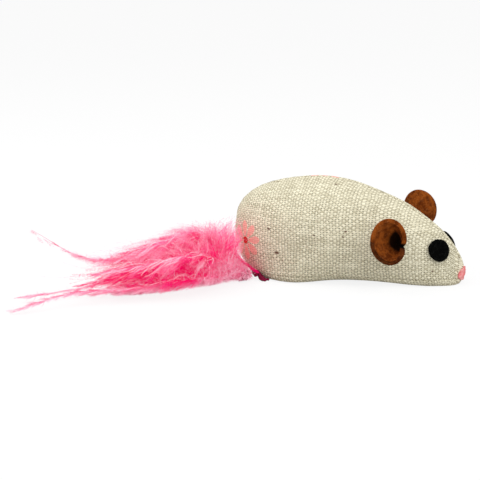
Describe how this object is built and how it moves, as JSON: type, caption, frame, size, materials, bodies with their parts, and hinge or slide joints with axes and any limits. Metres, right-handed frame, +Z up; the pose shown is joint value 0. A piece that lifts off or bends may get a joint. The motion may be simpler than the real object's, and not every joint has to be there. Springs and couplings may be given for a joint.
{
  "type": "catnip mouse",
  "caption": "Small sewn linen mouse, stuffed around dried catnip, with felt ears, eyes and nose and a swinging tail of fluffy dyed feathers, for a cat to bat and chase.",
  "frame": {"origin": "middle of the flat base that the mouse rests on, on its length and on its seam plane", "axes": "+X towards the nose, +Y towards the mouse's left side, +Z up from the surface it rests on"},
  "size_m": [0.1231, 0.0892, 0.0315],
  "materials": {
    "linen": "plain weave of slubby natural linen, matte, with a printed flower",
    "fibrefill": "white loose fibre",
    "dried_catnip": "crumbled dry leaf",
    "black_felt": "matte felt",
    "pink_felt": "matte felt",
    "brown_felt": "matte fuzzy felt",
    "pink_thread": "dyed sewing thread",
    "pink_down": "dyed downy feather, soft sheen"
  },
  "bodies": {
    "mouse": {"right_side_panel": "linen", "left_side_panel": "linen", "base_panel": "linen", "stuffing": "fibrefill", "catnip_filling": "dried_catnip", "right_eye": "black_felt", "left_eye": "black_felt", "nose_patch": "pink_felt"},
    "right_ear": {"right_ear": "brown_felt"},
    "left_ear": {"left_ear": "brown_felt"},
    "tail_root": {"tail_knot": "pink_thread"},
    "tail": {"tail_binding": "pink_thread", "crest_feather": "pink_down", "upper_near_feather": "pink_down", "upper_far_feather": "pink_down", "middle_feather": "pink_down", "lower_near_feather": "pink_down", "lower_far_feather": "pink_down", "ground_feather": "pink_down"}
  },
  "joints": [
    {"name": "right_ear_flap", "type": "hinge", "parent": "mouse", "child": "right_ear", "pos_m": [0.0193, -0.0128, 0.01423], "axis": [0, 0.2368, 0.9716], "range_deg": [-30, 30], "stiffness_Nm_per_rad": 0.0002},
    {"name": "left_ear_flap", "type": "hinge", "parent": "mouse", "child": "left_ear", "pos_m": [0.02138, 0.01152, 0.01569], "axis": [0, 0.3515, -0.9362], "range_deg": [-15, 45], "stiffness_Nm_per_rad": 0.0002},
    {"name": "tail_sway", "type": "hinge", "parent": "mouse", "child": "tail_root", "pos_m": [-0.02635, -0.01079, 0.0021], "axis": [0, 0, 1], "range_deg": [-25, 50]},
    {"name": "tail_lift", "type": "hinge", "parent": "tail_root", "child": "tail", "pos_m": [-0.02635, -0.01079, 0.0021], "axis": [-0.6225, 0.7826, 0], "range_deg": [0, 15]}
  ]
}
